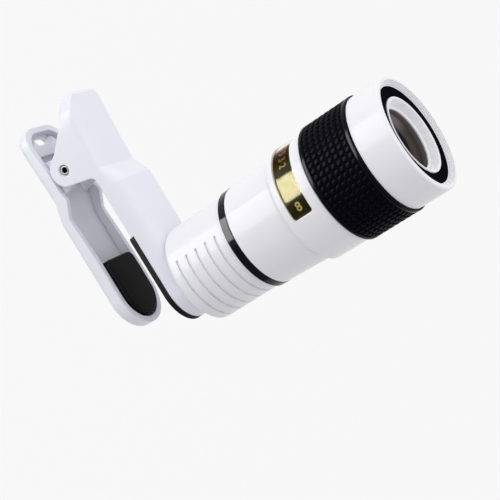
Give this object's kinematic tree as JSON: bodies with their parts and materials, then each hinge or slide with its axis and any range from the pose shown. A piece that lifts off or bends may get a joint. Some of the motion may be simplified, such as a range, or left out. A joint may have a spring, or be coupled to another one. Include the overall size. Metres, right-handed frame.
{
  "type": "clip on phone lens",
  "caption": "Telephoto lens on a spring clip that clamps over a phone's camera, with a rubber focus grip and a scale window.",
  "frame": {"origin": "Where the optical axis crosses the face of the lens jaw's pad, which lies on the phone's back round its camera. It is the mouth of the camera opening.", "axes": "+Z runs along the optical axis to the front lens, -X runs to the finger tabs, and Y is the direction of the clip's hinge pin."},
  "size_m": [0.0732, 0.0318, 0.093],
  "materials": {
    "white_gloss": "glossy injection-moulded white",
    "black_gloss": "glossy black ring",
    "black_matte": "matt black inside the barrel",
    "grip_rubber": "soft black rubber with a woven diamond pattern",
    "pad_rubber": "soft black rubber pad",
    "gold_scale": "gold-on-black scale strip",
    "clear_window": "clear curved cover",
    "nickel_steel": "nickel-plated steel",
    "coated_glass": "coated lens glass"
  },
  "bodies": {
    "lens_body": {"lens_jaw": "white_gloss", "lens_jaw_pad": "pad_rubber", "pivot_pin": "nickel_steel", "torsion_spring": "nickel_steel", "base_collar": "white_gloss", "trim_ring": "black_gloss", "main_barrel": "white_gloss", "scale_plate": "gold_scale", "scale_window": "clear_window", "field_stop": "black_matte", "guide_tube": "black_matte", "eyepiece_cell": "black_matte", "eye_lens": "coated_glass", "eyepiece_spacer": "black_matte", "field_lens": "coated_glass", "eyepiece_retainer": "black_matte"},
    "focus_front": {"focus_ring": "white_gloss", "focus_screws": "nickel_steel", "rubber_grip": "grip_rubber", "front_hood": "white_gloss", "name_ring": "black_matte"},
    "objective_group": {"objective_cell": "white_gloss", "objective_crown_lens": "coated_glass", "objective_flint_lens": "coated_glass", "objective_retainer": "black_matte"},
    "screen_jaw": {"pad_jaw": "white_gloss", "pad_jaw_pad": "pad_rubber"}
  },
  "joints": [
    {"name": "focus_turn", "type": "hinge", "parent": "lens_body", "child": "focus_front", "pos_m": [0, 0, 0.0608], "axis": [0, 0, 1], "range_deg": [-50, 50]},
    {"name": "focus_travel", "type": "slide", "parent": "lens_body", "child": "objective_group", "axis": [0, 0, 1], "range_m": [-0.0014, 0.0014]},
    {"name": "jaw_open", "type": "hinge", "parent": "lens_body", "child": "screen_jaw", "pos_m": [-0.0405, 0, -0.0059], "axis": [0, 1, 0], "range_deg": [-13.5, 22], "stiffness_Nm_per_rad": 0.23, "springref_deg": -60.16, "deforming": ["torsion_spring"]}
  ],
  "couplings": [
    {"joint": "focus_travel", "follows": "focus_turn", "m_per_rad": 0.0015915}
  ]
}
